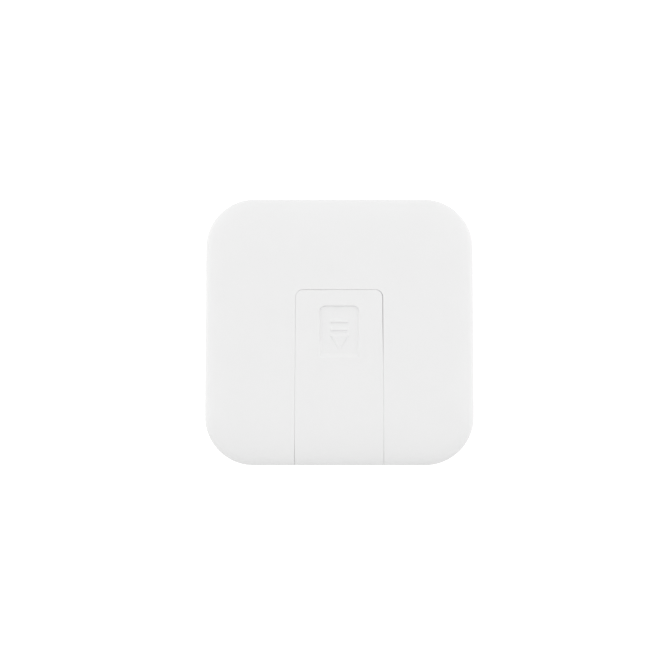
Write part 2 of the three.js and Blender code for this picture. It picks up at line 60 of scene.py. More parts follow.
FRONT_LOW, FRONT_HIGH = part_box("front_shell")
HALF = (FRONT_HIGH.x - FRONT_LOW.x) / 2 / MM
DEPTH = -FRONT_LOW.y / MM
CORNER = 22.0  # corner radius of the outline
WALL = 2.0  # thickness of the skin
PARTING = 12.3  # height of the joint between the two housings
DRAFT = 0.8  # how much the side wall draws in towards the joint
DROP, REACH, POWER = 9.0, 36.0, 3.2  # the front's fall towards its edges: depth, length, exponent
STRAIGHT = (HALF - CORNER) / HALF  # where its sides stop being straight, as a share of its size

DOOR_TOP, DOOR_HALF_TOP, DOOR_HALF_FOOT, DOOR_CORNER = 17.66, 19.39, 19.75, 3.3
DOOR_CENTRE, DOOR_GAP = -0.1, 0.07  # the door's middle line, and its clearance before it is seated
PAST_FOOT = 2.0  # how far the door's outline runs past the unit's foot, where its width is stated
PAD_BOTTOM, PAD_TOP, PAD_HALF, PAD_CORNER = -12.9, 10.6, 8.95, 2.7
PAD_DEEP, PAD_RAMP = 0.68, 2.1  # the recess's depth, and the length of the ramp at its foot
PAD_WALL, PAD_TOP_WALL, PAD_FOOT_WALL = 0.9, 0.42, 1.6  # widths of the recess's sloping edges
PAD_SPREAD_TOP, PAD_SPREAD = -3.0, 7.0  # where the side walls start to spread, and over what length
PAD_MIDDLE, PAD_TALL = (PAD_TOP + PAD_BOTTOM - PAD_CORNER) / 2, PAD_TOP - PAD_BOTTOM + PAD_CORNER
BAR_HALF, BAR_TALL, BAR_BOTTOMS = 4.3, 2.2, (2.68, -0.95)
BAR_CREST, BAR_END = 0.55, 1.0  # the crest's height over a bar's bottom, and a bar's sloping ends
ARROW_HALF, ARROW_CREST, ARROW_ABOVE, ARROW_TIP = 4.1, -3.2, 1.4, -10.2
RAISED, ARROW_WALL = 0.52, 0.6  # height of the ridges, and width of the arrow's sloping sides
EDGE = 0.16  # rounding of the moulded edges

FLOOR_Z = -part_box("rear_housing")[1].y / MM
FLOOR_THICK, FLOOR_HALF = 2.0, 51.0
FLARE_INSET = 1.2  # how far the rear housing's rim is drawn in
RIM_GAP = 0.3  # space between the rear housing's rim and the front shell's
TRAY_MIDDLE, TRAY_FILLET = 30.0, 0.9  # half of its flat middle, and the rounding of its edges
LIP_HALF, LIP_WALL, LIP_TOP = 56.85, 1.4, 14.8  # the rear housing's lip inside the front shell
HOLLOW_FOOT = 1.5  # how far in from the floor's edge the hollow's own floor ends
HOLLOW_SHOULDER = 1.0  # how far below the joint the hollow's sides turn upright
PLATE_HALF, PLATE_CORNER, PLATE_THICK = 44.0, 14.0, 3.2
PLATE_MIDDLE, PLATE_FILLET = 20.0, 0.5  # half of its flat middle, and the rounding of its edges
LIFT = 9.0  # the unit's travel along the hooks
CASE_SCREWS = 43.0  # how far they are from the middle, both ways
HOOK_X, HOOK_YS, HOOK_WIDTH, HOOK_STEM = 32.0, (27.0, -27.0), 6.0, 2.4
HOLE_Y, HOLE_WIDTH, HOLE_HEIGHT, HOLE_CORNER = -33.0, 24.0, 18.0, 3.0
KEY_X, KEY_Y = 30.0, 8.0
KEY_HEAD, KEY_SHANK, KEY_SLOT = 4.5, 2.2, 8.0  # radii of the entry and the slot, and its length
POCKET, SEAT = 5.8, 1.4  # the keyholes' pockets: radius, and thickness left under them

# The front's surface ------------------------------------------------------------------------------


def gauge(x, y):
    """The share of the outline's size at which a scaled outline passes through each point."""
    wide, tall = np.abs(x) / HALF, np.abs(y) / HALF
    share = np.maximum(wide, tall)
    radius = 1 - STRAIGHT
    a = 2 * STRAIGHT**2 - radius**2
    b = STRAIGHT * (wide + tall)
    arc = (b - np.sqrt(np.maximum(b * b - a * (wide**2 + tall**2), 0))) / a
    return np.where(np.minimum(wide, tall) > STRAIGHT * share, arc, share)


def fall(inset):
    across = np.clip(1 - inset / REACH, 0, 1)
    return DROP * (1 - (1 - across**POWER) ** (1 / POWER))


def height(x, y):
    return DEPTH - fall(HALF * (1 - gauge(x, y)))


def normals(x, y, surface=height, step=1e-3):
    """Unit normals of a surface over the face."""
    dx = (surface(x + step, y) - surface(x - step, y)) / (2 * step)
    dy = (surface(x, y + step) - surface(x, y - step)) / (2 * step)
    found = np.stack([-dx, -dy, np.ones_like(dx)], axis=1)
    return found / np.linalg.norm(found, axis=1, keepdims=True)


def inset_at(angle):
    """How far in from the edge the front's profile reaches a given angle of its curve, in degrees."""
    return REACH * (1 - math.cos(math.radians(angle)) ** (2 / POWER))


# The angles of the profile's curve at which the mesh has its rings.
FACE_ANGLES = (10, 12, 14.5, 17.5, 21, 25, 29.5, 34.5, 40, 46, 53, 61, 70, 80)
SIDE_ANGLES = (8.2, 6.6, 5.2, 4, 3, 2.1, 1.4, 0.8, 0.35, 0.1)
RIM_ANGLES = (15, 40, 65, 90)
WALL_RINGS = (18.5, 15.5, PARTING + 0.5)  # heights of the rings on the plain side wall
EDGE_INSET = inset_at(FACE_ANGLES[0])


def door_distance(x, y, grown=0.0):
    """Signed distance from the door's outline grown by an amount: below zero inside it."""
    middle = DOOR_TOP - DOOR_CORNER
    slope = (DOOR_HALF_FOOT - DOOR_HALF_TOP) / (middle + HALF + PAST_FOOT)
    half = DOOR_HALF_TOP + np.maximum(middle - y, 0) * slope
    wide = np.abs(x - DOOR_CENTRE)
    centre = DOOR_HALF_TOP - DOOR_CORNER
    round_part = np.hypot(wide - centre, y - middle) - DOOR_CORNER
    flat_part = np.maximum(np.where(y > middle, wide - DOOR_HALF_TOP, wide - half), y - DOOR_TOP)
    return np.where((wide > centre) & (y > middle), round_part, flat_part) - grown


def door_line(grown, steps=14, pitch=1.2):
    """The door's outline grown by an amount, as an open line that runs past the unit's foot."""
    middle, foot = DOOR_TOP - DOOR_CORNER, -HALF - PAST_FOOT
    corner, centre, top = DOOR_CORNER + grown, DOOR_HALF_TOP - DOOR_CORNER, DOOR_TOP + grown
    rows = int((middle - foot) / pitch)
    narrowing = DOOR_HALF_TOP - DOOR_HALF_FOOT
    right = []
    for i in range(rows):
        right.append((DOOR_HALF_FOOT + grown + narrowing * i / rows, foot + (middle - foot) * i / rows))
    for i in range(steps + 1):
        angle = math.pi / 2 * i / steps
        right.append((centre + corner * math.cos(angle), middle + corner * math.sin(angle)))
    right += [(centre * (1 - i / steps), top) for i in range(1, steps)]
    line = np.array(right + [(0.0, top)] + [(-x, y) for x, y in reversed(right)])
    return line + (DOOR_CENTRE, 0)


UNCUT = 1e9  # a pitch that leaves an outline's straight stretches whole


def rounded_line(x, y, width, tall, radius, steps=8, pitch=1.0):
    """A rounded rectangle's closed outline."""
    right, top = width / 2 - radius, tall / 2 - radius
    points = []
    for quarter, (cx, cy) in enumerate(((right, top), (-right, top), (-right, -top), (right, -top))):
        for step in range(steps + 1):
            angle = math.pi / 2 * (quarter + step / steps)
            points.append((x + cx + radius * math.cos(angle), y + cy + radius * math.sin(angle)))
    return subdivided(points, pitch)


def subdivided(points, pitch):
    """A closed line with its long stretches cut into steps."""
    result = []
    for here, after in zip(points, points[1:] + points[:1]):
        count = max(1, round(math.dist(here, after) / pitch))
        for step in range(count):
            result.append([a + (b - a) * (step / count) for a, b in zip(here, after)])
    return np.array(result)


def rounded_distance(x, y, cx, cy, width, tall, radius):
    """Signed distance from a rounded rectangle: below zero inside it."""
    dx = np.abs(x - cx) - (width / 2 - radius)
    dy = np.abs(y - cy) - (tall / 2 - radius)
    return np.hypot(np.maximum(dx, 0), np.maximum(dy, 0)) + np.minimum(np.maximum(dx, dy), 0) - radius


ARROW_LEAN = math.atan2(ARROW_CREST - ARROW_TIP, ARROW_HALF)


def arrow_relief(x, y):
    """The share of its height that the arrow has reached: it falls from its crest both ways."""
    fallen = np.clip((y - ARROW_TIP) / (ARROW_CREST - ARROW_TIP), 0, 1)
    risen = np.clip((ARROW_CREST + ARROW_ABOVE - y) / ARROW_ABOVE, 0, 1)
    upper = (ARROW_HALF - np.abs(x)) * math.sin(ARROW_LEAN)
    lower = upper - (ARROW_CREST - y) * math.cos(ARROW_LEAN)
    side = smooth(np.where(y < ARROW_CREST, lower, upper) / ARROW_WALL)
    return np.minimum(fallen, risen) * side


def arrow_line(inset, pitch=0.5):
    """The arrow's closed outline with its sides drawn in by an amount, up to its slope's foot."""
    half, top = ARROW_HALF - inset / math.sin(ARROW_LEAN), ARROW_CREST + ARROW_ABOVE
    tip = ARROW_TIP + inset / math.cos(ARROW_LEAN)
    points = [(half, top), (-half, top), (-half, ARROW_CREST), (0.0, tip), (half, ARROW_CREST)]
    return subdivided(points, pitch)


def smooth(share):
    share = np.clip(share, 0, 1)
    return share * share * (3 - 2 * share)


def ridge(y, low, crest, high):
    """The share of its height that a ridge has reached: steep on its lower side, gentle above."""
    steep, gentle = smooth((y - low) / (crest - low)), np.clip((high - y) / (high - crest), 0, 1)
    return np.where(y < crest, steep, gentle)


def pad_distance(x, y):
    """Signed distance from the thumb recess, whose lower corners lie below its ramp."""
    return rounded_distance(x, y, 0, PAD_MIDDLE, 2 * PAD_HALF, PAD_TALL, PAD_CORNER)


def pad_relief(x, y):
    """Height of the thumb recess and its raised marks against the door's own surface."""
    inside = -pad_distance(x, y)
    towards_top = smooth((y - PAD_TOP + 2 * PAD_CORNER) / PAD_CORNER)
    towards_foot = smooth((PAD_SPREAD_TOP - y) / PAD_SPREAD)
    wall = PAD_WALL + (PAD_TOP_WALL - PAD_WALL) * towards_top + (PAD_FOOT_WALL - PAD_WALL) * towards_foot
    ramp = np.clip((y - PAD_BOTTOM) / PAD_RAMP, 0, 1)
    marks = arrow_relief(x, y)
    for bottom in BAR_BOTTOMS:
        bar = ridge(y, bottom, bottom + BAR_CREST, bottom + BAR_TALL)
        marks = np.maximum(marks, bar * smooth((BAR_HALF - np.abs(x)) / BAR_END))
    sunk = np.minimum(PAD_DEEP * smooth(inside / wall), PAD_DEEP * ramp * (inside > 0))
    return np.minimum(-sunk + RAISED * marks, 0)


# The door's clearance to the left and to the right at some heights: the right side stands off over
# its upper half, both stand off a little at the foot, and elsewhere the sides nearly touch.
GAP_HEIGHTS = (-56, -46, -34, -16, -6, 4, 16)
LEFT_GAPS = (0.08, 0.02, 0.015, 0.01, 0.02, 0.03, 0.01)
RIGHT_GAPS = (0.065, 0.02, 0.01, 0.01, 0.12, 0.18, 0.15)
SEAT_TILT, TILT_FROM, TILT_OVER = 0.001, -20.0, 22.0  # its upper end's tilt, and where that sets in


def seated(points):
    """Where the door really lies in its opening, whose clearance is the same all round."""
    x, y = points[:, 0] - DOOR_CENTRE, points[:, 1]
    left = np.interp(y, GAP_HEIGHTS, LEFT_GAPS) - DOOR_GAP
    right = np.interp(y, GAP_HEIGHTS, RIGHT_GAPS) - DOOR_GAP
    share = (x / DOOR_HALF_TOP + 1) / 2
    moved = points.copy()
    moved[:, 0] += left * (1 - share) - right * share
    moved[:, 1] += SEAT_TILT * x * smooth((y - TILT_FROM) / TILT_OVER)
    return moved


# Meshes -------------------------------------------------------------------------------------------


SHARP, CUT_SHARP = 35, 30  # degrees past which an edge is shaded sharp, on made and on cut pieces
CLEAR = 0.02  # space between pieces that lie in each other
SAME_POINT, NO_AREA = 1e-5, 1e-9  # points this close are one, and triangles this small are none
ON_EDGE = 1e-3  # how closely a point has to lie on the face's edge to count as on it


def on_wall(points):
    """Points of the face frame, in the row frame."""
    points = np.asarray(points, float)
    return np.stack([points[:, 0], -points[:, 2], points[:, 1]], axis=1) * MM


def new_object(name, points, faces):
    mesh = bpy.data.meshes.new(name)
    mesh.from_pydata([tuple(p) for p in on_wall(points)], [], [tuple(f) for f in faces])
    mesh.validate()
    item = bpy.data.objects.new(name, mesh)
    bpy.context.scene.collection.objects.link(item)
    mesh.shade_smooth()
    mesh.set_sharp_from_angle(angle=math.radians(SHARP))
    return item


def triangles(loops, lines, dots, keep):
    """Triangles that keep to every closed loop and open line. keep says which triangles stay."""
    coords, edges = [], []
    for number, line in enumerate([*loops, *lines]):
        first = len(coords)
        coords.extend(Vector(p) for p in line)
        edges.extend((first + i, first + i + 1) for i in range(len(line) - 1))
        if number < len(loops):
            edges.append((first + len(line) - 1, first))
    coords.extend(Vector(p) for p in dots)
    found = delaunay_2d_cdt(coords, edges, [], 0, SAME_POINT)
    points = np.array([tuple(p) for p in found[0]])
    faces = np.array([f for f in found[2] if len(f) == 3])
    corners = points[faces]
    turn = np.cross(corners[:, 1] - corners[:, 0], corners[:, 2] - corners[:, 0])
    faces[turn < 0] = faces[turn < 0][:, ::-1]
    middle = corners.mean(axis=1)
    faces = faces[keep(middle[:, 0], middle[:, 1]) & (np.abs(turn) > NO_AREA)]
    used, index = np.unique(faces, return_inverse=True)
    return points[used], index.reshape(faces.shape)


def boundary(faces):
    """The edges that only one face has, each in its face's direction."""
    edges = {}
    for face in faces:
        for here, after in zip(face, (*face[1:], face[0])):
            edges[(here, after)] = True
    return [pair for pair in edges if (pair[1], pair[0]) not in edges]


def side_levels():
    """The rings down the side wall from the face's edge to the rounded rim at the joint.

    Each is how far it is drawn in as a share of the outline's size, its height, and the angle of the
    profile's curve there, which is zero on the plain wall and below zero on the rim.
    """
    levels = [(inset_at(a) / HALF, DEPTH - float(fall(inset_at(a))), a) for a in SIDE_ANGLES]
    levels += [(0.0, DEPTH - DROP, 0)]
    levels += [(drawn_in(z), z, 0) for z in WALL_RINGS]
    for angle in RIM_ANGLES:
        turn = math.radians(angle)
        inset = drawn_in(PARTING) + EDGE * (1 - math.cos(turn)) / HALF
        levels.append((inset, PARTING + EDGE * (1 - math.sin(turn)), -angle))
    return levels


def skin(name, points, faces, rounding, relief=None, moved=None):
    """A moulded skin from a triangulated stretch of the front: it runs down the side wall where it
    meets the unit's edge, has rounded seams, and is closed by an inner surface."""
    x, y = points[:, 0], points[:, 1]
    base = np.stack([x, y, height(x, y)], axis=1)
    facing = normals(x, y)
    lowered = rounding(x, y)
    lift = relief(x, y) if relief else np.zeros(len(x))
    faces = [tuple(int(i) for i in f) for f in faces]

    at_edge = HALF * (1 - gauge(x, y)) < EDGE_INSET + ON_EDGE
    rim = [(a, b) for a, b in boundary(faces) if at_edge[a] and at_edge[b]]
    ids = sorted({i for pair in rim for i in pair})
    outward = facing[ids][:, :2] / np.linalg.norm(facing[ids][:, :2], axis=1, keepdims=True)
    edge_scale = 1 - EDGE_INSET / HALF
    previous = dict(zip(ids, ids))
    bases, facings, drops, lifts = [base], [facing], [lowered], [lift]
    count = len(base)
    for inset, z, angle in side_levels():
        share = (1 - inset) / edge_scale
        out, up = slope_of(angle)
        bases.append(np.stack([x[ids] * share, y[ids] * share, np.full(len(ids), z)], axis=1))
        facings.append(np.column_stack([outward * out, np.full(len(ids), up)]))
        drops.append(lowered[ids])
        lifts.append(np.zeros(len(ids)))
        current = {i: count + k for k, i in enumerate(ids)}
        faces += [(previous[b], previous[a], current[a], current[b]) for a, b in rim]
        previous = current
        count += len(ids)
    base, facing = np.concatenate(bases), np.concatenate(facings)
    lowered, lift = np.concatenate(drops), np.concatenate(lifts)
    outer = base - facing * lowered[:, None]
    outer[:, 2] += lift
    inner = base - facing * WALL
    low_rim = base[:, 2] < PARTING + EDGE
    inner[low_rim, 2] = base[low_rim, 2]
    solid = faces + [tuple(count + i for i in reversed(f)) for f in faces]
    solid += [(b, a, count + a, count + b) for a, b in boundary(faces)]
    whole = np.concatenate([outer, inner])
    item = new_object(name, moved(whole) if moved else whole, solid)
    true = normals(x, y, lambda a, b: height(a, b) + relief(a, b), 0.01) if relief else normals(x, y)
    shade_truly(item, true, rounding(x, y) == 0)
    return item


def shade_truly(item, true, known):
    """Gives the face's corners the surface's own normals, where they are known."""
    mesh = item.data
    shading = np.array([corner.vector for corner in mesh.corner_normals])
    vertex = np.empty(len(mesh.loops), int)
    mesh.loops.foreach_get("vertex_index", vertex)
    outer = vertex < len(true)
    outer[outer] = known[vertex[outer]]
    shading[outer] = on_wall(true[vertex[outer]]) / MM
    mesh.normals_split_custom_set(shading.tolist())


def drawn_in(z):
    """How far the side wall has drawn in at a height, as a share of the outline's size."""
    return DRAFT * (DEPTH - DROP - z) / (DEPTH - DROP - PARTING) / HALF


def slope_of(angle):
    """The outward and upward parts of the surface's normal at an angle of the profile's curve."""
    if angle <= 0:
        return 1.0, 0.0
    turn = math.radians(angle)
    # The curve is (1 - cos^(2/n)) across and sin^(2/n) up, so its slope follows from the two rates.
    rate = 2 / POWER
    across = REACH * rate * math.cos(turn) ** (rate - 1) * math.sin(turn)
    up = DROP * rate * math.sin(turn) ** (rate - 1) * math.cos(turn)
    length = math.hypot(across, up)
    return up / length, across / length


def rounding_of(distance):
    """How far a surface drops at a distance from its rounded edge."""
    left = np.clip(EDGE - distance, 0, EDGE)
    return EDGE - np.sqrt(EDGE**2 - left**2)


SEAM_STEPS = (0.0, 0.01, 0.03, 0.06, 0.1, 0.16, 0.22)  # distances of the mesh lines along a seam
CLEAR_OF_SEAM, CLEAR_OF_DOOR_SEAM = 1.5, 1.0  # how far the mesh's dots keep from it, on each side


def snapped(distance, error=0.004):
    """Distances that are on a seam line, as far as rounding errors go, set to it exactly."""
    for level in SEAM_STEPS:
        distance = np.where(np.abs(distance - level) < error, level, distance)
    return distance


def face_rings():
    """Scaled outlines of the unit, closer together where the face curves more."""
    rings = []
    for angle in FACE_ANGLES:
        share = 1 - inset_at(angle) / HALF
        size = 2 * HALF * share
        rings.append(rounded_line(0, 0, size, size, CORNER * share, steps=20, pitch=2.5))
    return rings


def grid(pitch, across, low, high):
    """A square grid of dots: so many steps to either side, and from a low step to a high one."""
    return [(i * pitch, j * pitch) for i in range(-across, across + 1) for j in range(low, high + 1)]


def on_face(x, y):
    """Whether points lie on the face and not on the side wall."""
    return HALF * (1 - gauge(x, y)) > EDGE_INSET - ON_EDGE


def front_skin():
    seams = [door_line(DOOR_GAP + step) for step in SEAM_STEPS]
    rings = face_rings()
    dots = [p for p in grid(3.0, 8, -8, 8) if door_distance(*p) > CLEAR_OF_SEAM]

    def keep(x, y):
        return (door_distance(x, y, DOOR_GAP) > 0) & on_face(x, y)

    points, faces = triangles(rings, seams, dots, keep)

    def rounding(x, y):
        return rounding_of(snapped(door_distance(x, y, DOOR_GAP)))

    return skin("front_shell_skin", points, faces, rounding)


# How far in the mesh's lines lie: on the recess's walls, and as shares of the arrow's sides.
WALL_LINES = (0, 0.08, 0.16, 0.24, 0.32, 0.4, 0.48, 0.6, 0.75, 0.9, 1.1, 1.35, 1.6, 1.8)
ARROW_LINES = (0, 0.15, 0.3, 0.5, 0.7, 0.85, 1)


def recess_loops():
    """Closed mesh lines on the recess's sloping walls and on the arrow's sides."""
    loops = []
    for inset in WALL_LINES:
        wide, tall = 2 * (PAD_HALF - inset), PAD_TALL - 2 * inset
        loops.append(rounded_line(0, PAD_MIDDLE, wide, tall, PAD_CORNER - inset, pitch=0.8))
    return loops + [arrow_line(ARROW_WALL * share) for share in ARROW_LINES]


def recess_lines():
    """Open mesh lines across the recess's ramp, its arrow and its bars, and up the bars' ends."""
    levels = [(PAD_BOTTOM + PAD_RAMP * share, PAD_HALF) for share in (0, 0.05, 0.5, 0.95, 1.0, 1.05)]
    rises = (-0.07, 0, 0.07, ARROW_ABOVE - 0.1, ARROW_ABOVE + 0.1)
    levels += [(ARROW_CREST + rise, ARROW_HALF) for rise in rises]
    steps = [BAR_CREST * share for share in (0, 0.15, 0.3, 0.5, 0.7, 0.85, 0.95, 1, 1.1)]
    steps += [(BAR_CREST + BAR_TALL) / 2, BAR_TALL - 0.1, BAR_TALL, BAR_TALL + 0.1]
    uprights = []
    for bottom in BAR_BOTTOMS:
        levels += [(bottom + step, BAR_HALF) for step in steps]
        for share in (0, 0.25, 0.5, 0.75, 1):
            for side in (-1, 1):
                across = side * (BAR_HALF - BAR_END * share)
                uprights.append(np.array([(across, bottom + step) for step in steps]))
    count = 21  # points along each line
    rows = [np.column_stack([np.linspace(-half, half, count), np.full(count, y)]) for y, half in levels]
    return rows + uprights


CLEAR_OF_WALL, CLEAR_OF_FLOOR_EDGE = 0.8, 0.2  # how far the dots keep from the recess's walls
OFF_LINES = (0.05, 0.07)  # moves the finer dots off the mesh lines that they would fall on


def door_dots():
    """Dots over the door, and finer ones over the recess's floor, both clear of the mesh lines."""
    dots = []
    for x, y in grid(1.5, 13, -40, 12):
        from_wall = abs(pad_distance(x, y) + PAD_WALL / 2)
        if door_distance(x, y) < -CLEAR_OF_DOOR_SEAM and from_wall > CLEAR_OF_WALL:
            dots.append((x, y))
    for x, y in grid(0.6, 14, -22, 17):
        if pad_distance(x, y) < -PAD_FOOT_WALL - CLEAR_OF_FLOOR_EDGE:
            dots.append((x + OFF_LINES[0], y + OFF_LINES[1]))
    return dots


def door_skin():
    seams = [door_line(-step) for step in SEAM_STEPS]

    def keep(x, y):
        return (door_distance(x, y) < 0) & on_face(x, y)

    points, faces = triangles(face_rings() + recess_loops(), seams + recess_lines(), door_dots(), keep)

    def rounding(x, y):
        return rounding_of(snapped(-door_distance(x, y)))

    return skin("cable_door_skin", points, faces, rounding, pad_relief, seated)


# Lofted and cut pieces ----------------------------------------------------------------------------


def corner_at(half, shrink=0.62):
    """Corner radius of the rear housing's rings, which shrink towards the wall."""
    rim = HALF - FLARE_INSET
    return CORNER - FLARE_INSET - (rim - half) * shrink


def filleted(profile, radius, steps=4, most=0.45):
    """A profile of (half, z) points with its inner points rounded, over at most a share of a side."""
    result = [profile[0]]
    for before, here, after in zip(profile, profile[1:], profile[2:]):
        before, here, after = (np.array(p, float) for p in (before, here, after))
        to, away = before - here, after - here
        reach = min(radius, most * np.linalg.norm(to), most * np.linalg.norm(away))
        start = here + to / np.linalg.norm(to) * reach
        end = here + away / np.linalg.norm(away) * reach
        for step in range(steps + 1):
            t = step / steps
            result.append(tuple((1 - t) ** 2 * start + 2 * t * (1 - t) * here + t * t * end))
    return [*result, profile[-1]]


def loft(name, profile, corner, steps=24):
    """A closed body through rounded squares that follow a profile of (half, z) points."""
    rings = []
    for half, z in profile:
        line = rounded_line(0, 0, 2 * half, 2 * half, corner(half), steps=steps, pitch=UNCUT)
        rings.append(np.column_stack([line, np.full(len(line), z)]))
    count = len(rings[0])
    faces = []
    for level in range(len(rings) - 1):
        low, high = level * count, (level + 1) * count
        for i in range(count):
            j = (i + 1) % count
            faces.append((low + i, low + j, high + j, high + i))
    last = (len(rings) - 1) * count
    faces += [tuple(reversed(range(count))), tuple(range(last, last + count))]
    return new_object(name, np.concatenate(rings), faces)


def prism_faces(count):
    """The faces between two copies of an outline with a number of points, and its two ends."""
    faces = [(i, (i + 1) % count, count + (i + 1) % count, count + i) for i in range(count)]
    return faces + [tuple(reversed(range(count))), tuple(range(count, 2 * count))]


def prism(name, line, low, high):
    """A closed body that stands on an outline in the face."""
    points = [(*p, low) for p in line] + [(*p, high) for p in line]
    return new_object(name, points, prism_faces(len(line)))


def circle(x, y, radius, steps=40):
    return [
        (x + radius * math.cos(2 * math.pi * i / steps), y + radius * math.sin(2 * math.pi * i / steps))
        for i in range(steps)
    ]


def merged(items):
    """Several objects' meshes as one object."""
    whole = bmesh.new()
    for item in items:
        whole.from_mesh(item.data)
        bpy.data.objects.remove(item)
    mesh = bpy.data.meshes.new("tools")
    whole.to_mesh(mesh)
    whole.free()
    item = bpy.data.objects.new("tools", mesh)
    bpy.context.scene.collection.objects.link(item)
    return item


def boolean(item, tool, operation):
    """Applies one boolean with the tool, which is used up."""
    step = item.modifiers.new("cut", "BOOLEAN")
    step.operation, step.solver, step.object = operation, "EXACT", tool
    dg = bpy.context.evaluated_depsgraph_get()
    mesh = bpy.data.meshes.new_from_object(item.evaluated_get(dg))
    item.modifiers.clear()
    item.data = mesh
    bpy.data.objects.remove(tool)
    mesh.shade_smooth()
    mesh.set_sharp_from_angle(angle=math.radians(CUT_SHARP))
    return item


def copy_of(node, name):
    """A new object with a CAD node's mesh, its vertices merged."""
    mesh = frame["nodes"][node].data.copy()
    work = bmesh.new()
    work.from_mesh(mesh)
    bmesh.ops.remove_doubles(work, verts=work.verts, dist=1e-6)
    work.to_mesh(mesh)
    work.free()
    item = bpy.data.objects.new(name, mesh)
    bpy.context.scene.collection.objects.link(item)
    return item


CORE_ANGLES = (0, 1, 3, 6, 10, 16, 25, 38, 55, 90)


def inside_core(node, name):
    """The part of a CAD node that lies inside the front's skin."""
    rings = [(HALF - WALL - DRAFT - CLEAR, 0.5), (HALF - WALL - DRAFT - CLEAR, PARTING)]
    for angle in CORE_ANGLES:
        inset = inset_at(angle)
        half = (HALF - WALL - CLEAR) * (1 - inset / HALF)
        rings.append((half, DEPTH - WALL - CLEAR - float(fall(inset))))
    core = loft("core", rings, lambda half: half * CORNER / HALF)
    return boolean(copy_of(node, name), core, "INTERSECT")


def corners(reach):
    return [(-reach, -reach), (reach, -reach), (reach, reach), (-reach, reach)]


WELL_RADIUS, WELL_DEEP = 3.2, 1.6  # the case screws' wells
SLOT_ABOVE, SLOT_BELOW, SLOT_SIDES, SLOT_CORNER = 0.4, 0.6, 1.0, 0.8  # a slot's room round its hook
DOORWAY_WIDTH, DOORWAY_TALL, DOORWAY_IN, DOORWAY_CORNER = 45.8, 12.0, 4.0, 0.5


def rear_tray():
    floor_top = FLOOR_Z + FLOOR_THICK
    rim = PARTING - RIM_GAP
    flare = HALF - FLARE_INSET
    past = floor_top + 1
    lip_inside, shoulder = LIP_HALF - LIP_WALL, PARTING - HOLLOW_SHOULDER
    profile = [
        (TRAY_MIDDLE, FLOOR_Z), (FLOOR_HALF + 0.3, FLOOR_Z), (flare, rim - 0.1), (flare, rim),
        (LIP_HALF, rim), (LIP_HALF, LIP_TOP), (lip_inside, LIP_TOP), (lip_inside, shoulder),
        (FLOOR_HALF - HOLLOW_FOOT, floor_top), (TRAY_MIDDLE, floor_top),
    ]
    tray = loft("rear_housing_tray", filleted(profile, TRAY_FILLET), corner_at)
    hole = rounded_line(0, HOLE_Y, HOLE_WIDTH, HOLE_HEIGHT, HOLE_CORNER)
    tools = [prism("hole", hole, 0, past)]
    for x, y in corners(CASE_SCREWS):
        tools.append(prism("well", circle(x, y, WELL_RADIUS), 0, FLOOR_Z + WELL_DEEP))
    for x in (-HOOK_X, HOOK_X):
        for y in HOOK_YS:
            high = y + HOOK_STEM / 2 + SLOT_ABOVE
            low = y - HOOK_STEM / 2 - LIFT - SLOT_BELOW
            line = rounded_line(x, (low + high) / 2, HOOK_WIDTH + SLOT_SIDES, high - low, SLOT_CORNER)
            tools.append(prism("slot", line, 0, past))
    doorway = rounded_line(0, -HALF + DOORWAY_IN, DOORWAY_WIDTH, DOORWAY_TALL, DOORWAY_CORNER)
    tools.append(prism("doorway", doorway, rim, LIP_TOP + 1))
    tools += vent_tools()
    return boolean(tray, merged(tools), "DIFFERENCE")


def vent_tools(each_side=7, pitch=4.0, width=1.8, low=7.0, high=10.2):
    """Round-ended tools across the flared wall, along the top and both sides."""
    near, far = FLOOR_HALF - 4, HALF + 1
    tools = []
    for step in range(-each_side, each_side + 1):
        middle = step * pitch
        line = rounded_line(middle, (low + high) / 2, width, high - low, width / 2 - 0.01, pitch=UNCUT)
        for turn in range(3):
            points = [(a, near, z) for a, z in line] + [(a, far, z) for a, z in line]
            points = [((a, d, z), (d, a, z), (-d, a, z))[turn] for a, d, z in points]
            tools.append(outside_out(new_object("vent", points, prism_faces(len(line)))))
    return tools


def outside_out(item):
    """Turns a closed body's faces outwards."""
    work = bmesh.new()
    work.from_mesh(item.data)
    bmesh.ops.recalc_face_normals(work, faces=work.faces)
    work.to_mesh(item.data)
    work.free()
    return item


def bracket_plate():
    middle = PLATE_MIDDLE
    profile = [(middle, 0), (PLATE_HALF, 0), (PLATE_HALF, PLATE_THICK), (middle, PLATE_THICK)]
    rounded = filleted(profile, PLATE_FILLET)
    plate = loft("bracket_plate", rounded, lambda half: PLATE_CORNER - (PLATE_HALF - half) * 0.5)
    wider, past = 2.0, PLATE_THICK + 1
    line = rounded_line(0, HOLE_Y, HOLE_WIDTH + wider, HOLE_HEIGHT + wider, HOLE_CORNER)
    tools = [prism("hole", line, -1, past)]
    for x in (-KEY_X, KEY_X):
        tools.append(prism("keyhole", keyhole_line(x), -1, past))
    plate = boolean(plate, merged(tools), "DIFFERENCE")
    middle, tall = KEY_Y + KEY_SLOT / 2, KEY_SLOT + 2 * POCKET
    pockets = []
    for x in (-KEY_X, KEY_X):
        line = rounded_line(x, middle, 2 * POCKET, tall, POCKET - 0.01, steps=16, pitch=UNCUT)
        pockets.append(prism("pocket", line, SEAT, past))
    return boolean(plate, merged(pockets), "DIFFERENCE")


def keyhole_line(x, steps=16):
    """A round entry with a narrower round-ended slot above it."""
    meet = math.asin(KEY_SHANK / KEY_HEAD)
    start, sweep = math.pi / 2 + meet, 2 * math.pi - 2 * meet
    points = []
    for step in range(2 * steps + 1):
        angle = start + sweep * step / (2 * steps)
        points.append((x + KEY_HEAD * math.cos(angle), KEY_Y + KEY_HEAD * math.sin(angle)))
    for step in range(steps + 1):
        angle = math.pi * step / steps
        points.append((x + KEY_SHANK * math.cos(angle), KEY_Y + KEY_SLOT + KEY_SHANK * math.sin(angle)))
    return points


